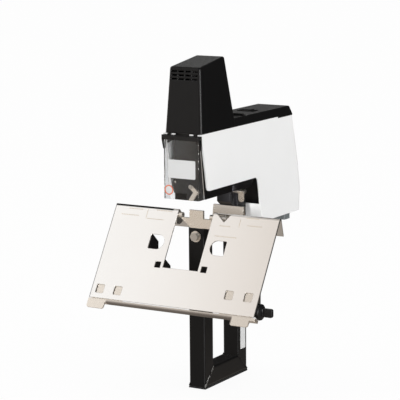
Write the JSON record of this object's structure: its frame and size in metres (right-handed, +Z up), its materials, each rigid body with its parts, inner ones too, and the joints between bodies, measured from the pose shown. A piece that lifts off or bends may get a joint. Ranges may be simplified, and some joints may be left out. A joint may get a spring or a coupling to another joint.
{
  "type": "electric saddle stapler",
  "caption": "Electric saddle stapler: white and black solenoid head with a clear guard over a bright bent saddle table, on a black square-tube stand.",
  "frame": {"origin": "on the floor under the foot, midway between the two bench bolts", "axes": "+Z up, +Y from the operator to the rear column, +X to the operator's right"},
  "size_m": [0.3348, 0.4135, 0.548],
  "materials": {
    "black_paint": "gloss",
    "rubber": "matte",
    "nickel": "polished",
    "steel": "satin",
    "black_plastic": "satin",
    "white_plastic": "satin",
    "clear_plastic": "clear smoked",
    "dark_alloy": "anodised",
    "copper_coil": "taped winding",
    "core_iron": "satin",
    "board": "satin",
    "grey_plastic": "satin"
  },
  "bodies": {
    "stand": {"foot_pad": "rubber", "base_bar": "black_paint", "front_post": "black_paint", "rear_post": "black_paint", "anvil_plate": "nickel", "anvil_washer": "steel", "anvil_bolt": "steel", "pivot_lugs": "nickel", "pivot_pin": "steel", "tilt_screw": "steel", "table_bracket": "black_paint", "bracket_screws": "steel", "stop_bracket": "nickel", "trigger_housing": "black_plastic", "trigger_pin": "steel", "arm_chassis": "black_paint", "head_plate": "steel", "guide_rods": "steel", "return_spring": "steel", "solenoid_coil": "copper_coil", "solenoid_yoke": "core_iron", "control_board": "board", "transformer": "core_iron", "left_cover": "white_plastic", "right_cover": "white_plastic", "cover_screws": "steel", "top_cover": "black_plastic", "rocker_frame": "black_plastic", "guard_pin": "steel", "power_inlet": "grey_plastic", "pedal_socket": "black_plastic"},
    "table": {"saddle_table": "nickel", "stop_guides": "nickel"},
    "stop": {"paper_stop": "nickel"},
    "knob": {"stop_screw": "steel", "stop_knob": "black_plastic"},
    "trigger": {"trigger_lever": "steel"},
    "head": {"nose_block": "dark_alloy", "magazine_cover": "steel", "magazine_rail": "steel", "staple_strip": "steel", "pusher_spring": "steel", "latch_pin": "steel"},
    "pusher": {"staple_pusher": "black_plastic"},
    "latch": {"latch_lever": "nickel"},
    "driver": {"driver_blade": "steel", "driver_carrier": "steel", "plunger": "steel"},
    "guard": {"guard_carrier": "black_plastic", "guard": "clear_plastic"},
    "rocker": {"power_rocker": "black_plastic"},
    "dial": {"force_dial": "black_plastic"}
  },
  "joints": [
    {"name": "table_tilt", "type": "hinge", "parent": "stand", "child": "table", "pos_m": [0, -0.0675, 0.2895], "axis": [-1, 0, 0], "range_deg": [0, 58]},
    {"name": "stop_slide", "type": "slide", "parent": "table", "child": "stop", "axis": [0, -0.5255, -0.8508], "range_m": [0, 0.0385]},
    {"name": "knob_turn", "type": "hinge", "parent": "table", "child": "knob", "pos_m": [0.1553, -0.1402, 0.16155], "axis": [1, 0, 0], "continuous": true},
    {"name": "trigger_swing", "type": "hinge", "parent": "stand", "child": "trigger", "pos_m": [0.026, 0.0345, 0.3175], "axis": [1, 0, 0], "range_deg": [0, 20], "stiffness_Nm_per_rad": 0.02, "springref_deg": -20.05},
    {"name": "head_stroke", "type": "slide", "parent": "stand", "child": "head", "axis": [0, 0, -1], "range_m": [0, 0.018], "stiffness_N_per_m": 1500, "springref_m": -0.012},
    {"name": "driver_stroke", "type": "slide", "parent": "stand", "child": "driver", "axis": [0, 0, -1], "range_m": [0, 0.027], "deforming": ["return_spring"]},
    {"name": "pusher_slide", "type": "slide", "parent": "head", "child": "pusher", "axis": [0, 1, 0], "range_m": [0, 0.02], "stiffness_N_per_m": 80, "springref_m": -0.02, "deforming": ["pusher_spring"]},
    {"name": "latch_swing", "type": "hinge", "parent": "head", "child": "latch", "pos_m": [0.009, -0.099, 0.345], "axis": [0, 1, 0], "range_deg": [0, 40]},
    {"name": "guard_swing", "type": "hinge", "parent": "stand", "child": "guard", "pos_m": [0, -0.1145, 0.424], "axis": [-1, 0, 0], "range_deg": [0, 80]},
    {"name": "rocker_tilt", "type": "hinge", "parent": "stand", "child": "rocker", "pos_m": [0.002, 0.0995, 0.4405], "axis": [0, 1, 0], "range_deg": [0, 16]},
    {"name": "dial_turn", "type": "hinge", "parent": "stand", "child": "dial", "pos_m": [0.015, 0.0385, 0.443], "axis": [0, 0, 1], "range_deg": [-135, 135]}
  ],
  "couplings": [
    {"joint": "driver_stroke", "follows": "head_stroke", "ratio": 1.5}
  ]
}
